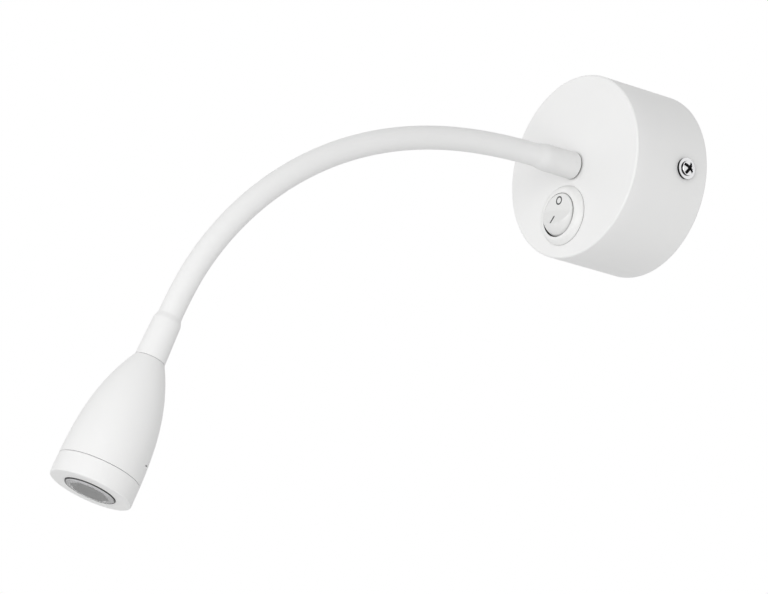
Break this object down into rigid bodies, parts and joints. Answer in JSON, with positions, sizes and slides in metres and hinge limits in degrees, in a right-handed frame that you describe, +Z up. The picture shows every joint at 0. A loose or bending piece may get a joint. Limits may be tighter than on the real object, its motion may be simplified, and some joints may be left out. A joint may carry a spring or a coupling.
{
  "type": "wall light",
  "caption": "Wall light with a round base cup, a rocker switch in its face, a flexible gooseneck arm and a bell-shaped LED spot head behind a screwed front ring.",
  "frame": {"origin": "middle of the wall face, on the axis of the round base cup", "axes": "+Z up, +Y into the wall, so -Y points out into the room, +X to the right of someone who faces the wall"},
  "size_m": [0.0746, 0.2351, 0.196],
  "materials": {
    "white_paint": "satin",
    "sleeve_silicone": "matte",
    "switch_plastic": "satin",
    "chrome_screw": "polished",
    "zinc_plate": "satin",
    "nickel_ferrule": "satin",
    "hose_steel": "satin",
    "lead_jacket": "matte",
    "wire_insulation": "satin",
    "block_plastic": "satin",
    "driver_case": "matte",
    "foam_pad": "matte",
    "contact_brass": "satin",
    "sink_aluminium": "satin",
    "board_white": "matte",
    "led_phosphor": "satin",
    "lens_clear": "polished",
    "holder_plastic": "matte"
  },
  "bodies": {
    "base": {"base_cup": "white_paint", "wall_plate": "zinc_plate", "side_screws": "chrome_screw", "terminal_block": "block_plastic", "terminal_screws": "zinc_plate", "led_driver": "driver_case", "driver_pad": "foam_pad", "switch_housing": "switch_plastic", "switch_terminals": "contact_brass", "root_ferrule": "nickel_ferrule", "root_washer": "zinc_plate", "root_nut": "zinc_plate", "root_sleeve": "sleeve_silicone", "root_hose": "hose_steel", "base_wires": "wire_insulation"},
    "rocker": {"switch_rocker": "switch_plastic", "switch_plunger": "contact_brass"},
    "contact": {"switch_contact": "contact_brass"},
    "link_1": {"sleeve_1": "sleeve_silicone", "hose_1": "hose_steel", "lead_1": "lead_jacket"},
    "link_2": {"sleeve_2": "sleeve_silicone", "hose_2": "hose_steel", "lead_2": "lead_jacket"},
    "link_3": {"sleeve_3": "sleeve_silicone", "hose_3": "hose_steel", "lead_3": "lead_jacket"},
    "link_4": {"sleeve_4": "sleeve_silicone", "hose_4": "hose_steel", "lead_4": "lead_jacket"},
    "link_5": {"sleeve_5": "sleeve_silicone", "hose_5": "hose_steel", "lead_5": "lead_jacket"},
    "link_6": {"sleeve_6": "sleeve_silicone", "hose_6": "hose_steel", "lead_6": "lead_jacket"},
    "link_7": {"sleeve_7": "sleeve_silicone", "hose_7": "hose_steel", "lead_7": "lead_jacket"},
    "link_8": {"sleeve_8": "sleeve_silicone", "hose_8": "hose_steel", "lead_8": "lead_jacket"},
    "link_9": {"sleeve_9": "sleeve_silicone", "hose_9": "hose_steel", "lead_9": "lead_jacket"},
    "link_10": {"sleeve_10": "sleeve_silicone", "hose_10": "hose_steel", "lead_10": "lead_jacket"},
    "head": {"tip_sleeve": "sleeve_silicone", "tip_hose": "hose_steel", "tip_ferrule": "nickel_ferrule", "head_shell": "white_paint", "heat_sink": "sink_aluminium", "led_board": "board_white", "led_chip": "led_phosphor", "lens": "lens_clear", "lens_holder": "holder_plastic", "front_ring": "white_paint", "grub_screw": "white_paint", "head_wires": "lead_jacket"}
  },
  "joints": [
    {"name": "root_bend", "type": "hinge", "parent": "base", "child": "link_1", "pos_m": [0, -0.0562, 0], "axis": [1, 0, 0], "range_deg": [-26, 12]},
    {"name": "root_swing", "type": "hinge", "parent": "link_1", "child": "link_2", "pos_m": [0, -0.07335, -0.00067], "axis": [0, -0.0735, 0.9973], "range_deg": [-18, 18]},
    {"name": "root_bend_2", "type": "hinge", "parent": "link_2", "child": "link_3", "pos_m": [0, -0.09041, -0.00252], "axis": [1, 0, 0], "range_deg": [-26, 12]},
    {"name": "root_swing_2", "type": "hinge", "parent": "link_3", "child": "link_4", "pos_m": [0, -0.10724, -0.00585], "axis": [0, -0.2435, 0.9699], "range_deg": [-18, 18]},
    {"name": "root_bend_3", "type": "hinge", "parent": "link_4", "child": "link_5", "pos_m": [0, -0.12365, -0.01087], "axis": [1, 0, 0], "range_deg": [-26, 12]},
    {"name": "tip_swing", "type": "hinge", "parent": "link_5", "child": "link_6", "pos_m": [0, -0.13938, -0.01773], "axis": [0, -0.4564, 0.8898], "range_deg": [-15, 15]},
    {"name": "tip_bend", "type": "hinge", "parent": "link_6", "child": "link_7", "pos_m": [0, -0.15413, -0.0265], "axis": [1, 0, 0], "range_deg": [-30, 8]},
    {"name": "tip_swing_2", "type": "hinge", "parent": "link_7", "child": "link_8", "pos_m": [0, -0.16756, -0.03719], "axis": [0, -0.6776, 0.7355], "range_deg": [-15, 15]},
    {"name": "tip_bend_2", "type": "hinge", "parent": "link_8", "child": "link_9", "pos_m": [0, -0.1793, -0.04969], "axis": [1, 0, 0], "range_deg": [-30, 8]},
    {"name": "tip_swing_3", "type": "hinge", "parent": "link_9", "child": "link_10", "pos_m": [0, -0.189, -0.06385], "axis": [0, -0.8678, 0.497], "range_deg": [-15, 15]},
    {"name": "tip_bend_3", "type": "hinge", "parent": "link_10", "child": "head", "pos_m": [0, -0.1963, -0.07938], "axis": [1, 0, 0], "range_deg": [-30, 8]},
    {"name": "rocker_tilt", "type": "hinge", "parent": "base", "child": "rocker", "pos_m": [0, -0.0335, -0.0188], "axis": [0.9962, 0, 0.0872], "range_deg": [0, 26]},
    {"name": "contact_tilt", "type": "hinge", "parent": "base", "child": "contact", "pos_m": [0, -0.0241, -0.0188], "axis": [0.9962, 0, 0.0872], "range_deg": [-16, 0]}
  ],
  "couplings": [
    {"joint": "root_bend_2", "follows": "root_bend", "ratio": 1},
    {"joint": "root_swing_2", "follows": "root_swing", "ratio": 1},
    {"joint": "root_bend_3", "follows": "root_bend", "ratio": 1},
    {"joint": "tip_swing_2", "follows": "tip_swing", "ratio": 1},
    {"joint": "tip_bend_2", "follows": "tip_bend", "ratio": 1},
    {"joint": "tip_swing_3", "follows": "tip_swing", "ratio": 1},
    {"joint": "tip_bend_3", "follows": "tip_bend", "ratio": 1},
    {"joint": "contact_tilt", "follows": "rocker_tilt", "ratio": -0.61538}
  ]
}
